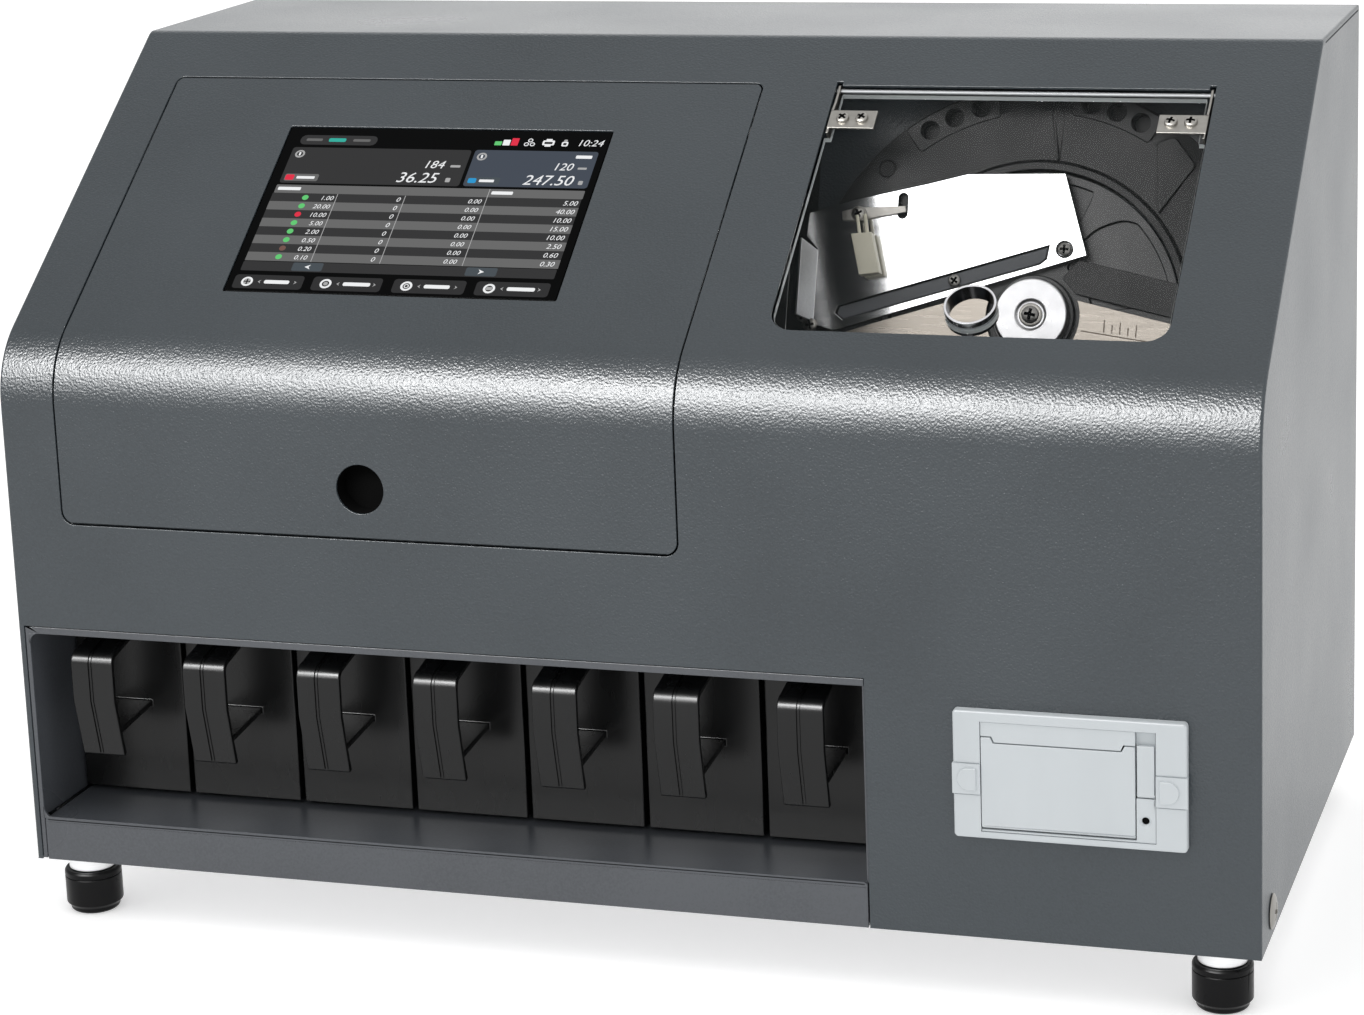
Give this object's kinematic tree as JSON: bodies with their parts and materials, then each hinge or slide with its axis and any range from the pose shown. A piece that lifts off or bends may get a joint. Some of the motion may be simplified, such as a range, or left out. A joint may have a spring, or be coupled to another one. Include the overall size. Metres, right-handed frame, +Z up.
{
  "type": "coin sorting machine",
  "caption": "Table-top coin sorter: sheet-metal case with pull-out coin boxes, hinged display door, clear lid over a tilted feed disc, and a panel printer.",
  "frame": {"origin": "on the floor, under the middle of the machine's bounding box", "axes": "+X to the right as seen from the front, +Y to the back, +Z up; the front face looks along -Y"},
  "size_m": [0.6348, 0.331, 0.431],
  "materials": {
    "case_paint": "fine orange-peel powder coat, satin",
    "liner_paint": "smooth satin powder coat",
    "zinc_steel": "bright zinc plate",
    "aluminium": "turned",
    "mirror_steel": "mirror-polished stainless sheet",
    "chrome": "polished",
    "rubber": "moulded, dull",
    "black_plastic": "semi-gloss moulded",
    "dark_moulding": "satin moulded",
    "printer_plastic": "fine spark texture",
    "nylon": "natural nylon",
    "clear_acrylic": "clear",
    "display_glass": "gloss touch panel",
    "board_green": "solder mask",
    "paper": "uncoated"
  },
  "bodies": {
    "root": {"outer_case": "case_paint", "base_chassis": "zinc_steel", "rear_panel": "case_paint", "bay_liner": "liner_paint", "bay_tray": "liner_paint", "foot_front_left": "rubber", "foot_rear_left": "rubber", "foot_front_right": "rubber", "foot_rear_right": "rubber", "foot_spacer_front_left": "aluminium", "foot_spacer_rear_left": "aluminium", "foot_spacer_front_right": "aluminium", "foot_spacer_rear_right": "aluminium", "case_screw_left": "zinc_steel", "case_screw_right": "zinc_steel", "door_pivot_rod": "zinc_steel", "lid_hinge_rod": "chrome", "mechanism_plate": "zinc_steel", "hopper_ring": "dark_moulding", "feed_motor": "zinc_steel", "drive_belt": "rubber", "guide_plate": "mirror_steel", "level_plate": "mirror_steel", "sorting_rail": "mirror_steel", "transport_belt": "rubber", "chute_block": "black_plastic", "printer_bezel": "printer_plastic", "printer_body": "black_plastic", "control_board": "board_green", "power_supply": "aluminium", "power_inlet": "black_plastic"},
    "coin_box_1": {"coin_box_1": "black_plastic"},
    "coin_box_2": {"coin_box_2": "black_plastic"},
    "coin_box_3": {"coin_box_3": "black_plastic"},
    "coin_box_4": {"coin_box_4": "black_plastic"},
    "coin_box_5": {"coin_box_5": "black_plastic"},
    "coin_box_6": {"coin_box_6": "black_plastic"},
    "coin_box_7": {"coin_box_7": "black_plastic"},
    "access_door": {"access_door": "case_paint", "touch_screen": "display_glass", "display_housing": "black_plastic", "door_hinge_arm_left": "zinc_steel", "door_hinge_arm_right": "zinc_steel"},
    "window_lid": {"window_lid": "clear_acrylic", "lid_finger_ring": "chrome", "lid_bracket_left": "zinc_steel", "lid_bracket_right": "zinc_steel"},
    "feed_disc": {"feed_disc": "dark_moulding", "hub_cap": "aluminium", "feed_shaft": "zinc_steel", "feed_pulley": "aluminium"},
    "motor_pulley": {"motor_pulley": "aluminium"},
    "belt_pulley_left": {"belt_pulley_left": "aluminium"},
    "belt_pulley_right": {"belt_pulley_right": "aluminium"},
    "coin_flap": {"flap_lever": "zinc_steel", "flap_block": "nylon"},
    "printer_cover": {"printer_cover": "printer_plastic"},
    "printer_lever": {"printer_lever": "printer_plastic"},
    "paper_roll": {"paper_roll": "paper"},
    "power_switch": {"power_switch": "black_plastic"}
  },
  "joints": [
    {"name": "coin_box_1_slide", "type": "slide", "parent": "root", "child": "coin_box_1", "axis": [0, -1, 0], "range_m": [0, 0.28]},
    {"name": "coin_box_2_slide", "type": "slide", "parent": "root", "child": "coin_box_2", "axis": [0, -1, 0], "range_m": [0, 0.28]},
    {"name": "coin_box_3_slide", "type": "slide", "parent": "root", "child": "coin_box_3", "axis": [0, -1, 0], "range_m": [0, 0.28]},
    {"name": "coin_box_4_slide", "type": "slide", "parent": "root", "child": "coin_box_4", "axis": [0, -1, 0], "range_m": [0, 0.28]},
    {"name": "coin_box_5_slide", "type": "slide", "parent": "root", "child": "coin_box_5", "axis": [0, -1, 0], "range_m": [0, 0.28]},
    {"name": "coin_box_6_slide", "type": "slide", "parent": "root", "child": "coin_box_6", "axis": [0, -1, 0], "range_m": [0, 0.28]},
    {"name": "coin_box_7_slide", "type": "slide", "parent": "root", "child": "coin_box_7", "axis": [0, -1, 0], "range_m": [0, 0.28]},
    {"name": "access_door_hinge", "type": "hinge", "parent": "root", "child": "access_door", "pos_m": [-0.125, 0.03102, 0.41516], "axis": [-1, 0, 0], "range_deg": [0, 75]},
    {"name": "window_lid_hinge", "type": "hinge", "parent": "root", "child": "window_lid", "pos_m": [0.17185, 0.00528, 0.40676], "axis": [-1, 0, 0], "range_deg": [0, 90]},
    {"name": "feed_disc_spin", "type": "hinge", "parent": "root", "child": "feed_disc", "pos_m": [0.178, -0.0095, 0.298], "axis": [0, -0.9397, 0.342], "continuous": true},
    {"name": "motor_spin", "type": "hinge", "parent": "root", "child": "motor_pulley", "pos_m": [0.178, -0.00371, 0.23204], "axis": [0, -0.9397, 0.342], "continuous": true},
    {"name": "belt_pulley_right_spin", "type": "hinge", "parent": "root", "child": "belt_pulley_right", "pos_m": [0.037, -0.00573, 0.32004], "axis": [0, -0.9397, 0.342], "continuous": true},
    {"name": "belt_pulley_left_spin", "type": "hinge", "parent": "root", "child": "belt_pulley_left", "pos_m": [-0.287, -0.00573, 0.32004], "axis": [0, -0.9397, 0.342], "continuous": true},
    {"name": "coin_flap_hinge", "type": "hinge", "parent": "root", "child": "coin_flap", "pos_m": [0.0871, 0.00286, 0.34511], "axis": [0, -0.9397, 0.342], "range_deg": [-4, 12]},
    {"name": "printer_cover_hinge", "type": "hinge", "parent": "root", "child": "printer_cover", "pos_m": [0.221, -0.1625, 0.0882], "axis": [1, 0, 0], "range_deg": [0, 75]},
    {"name": "printer_lever_hinge", "type": "hinge", "parent": "root", "child": "printer_lever", "pos_m": [0.262, -0.1625, 0.1084], "axis": [1, 0, 0], "range_deg": [0, 35]},
    {"name": "paper_roll_spin", "type": "hinge", "parent": "root", "child": "paper_roll", "pos_m": [0.219, -0.1285, 0.113], "axis": [1, 0, 0], "continuous": true},
    {"name": "power_switch_rock", "type": "hinge", "parent": "root", "child": "power_switch", "pos_m": [0.271, 0.1595, 0.096], "axis": [1, 0, 0], "range_deg": [0, 12]}
  ],
  "couplings": [
    {"joint": "motor_spin", "follows": "feed_disc_spin", "ratio": 2.6667},
    {"joint": "belt_pulley_right_spin", "follows": "feed_disc_spin", "ratio": 2.6667},
    {"joint": "belt_pulley_left_spin", "follows": "feed_disc_spin", "ratio": 2.6667}
  ]
}
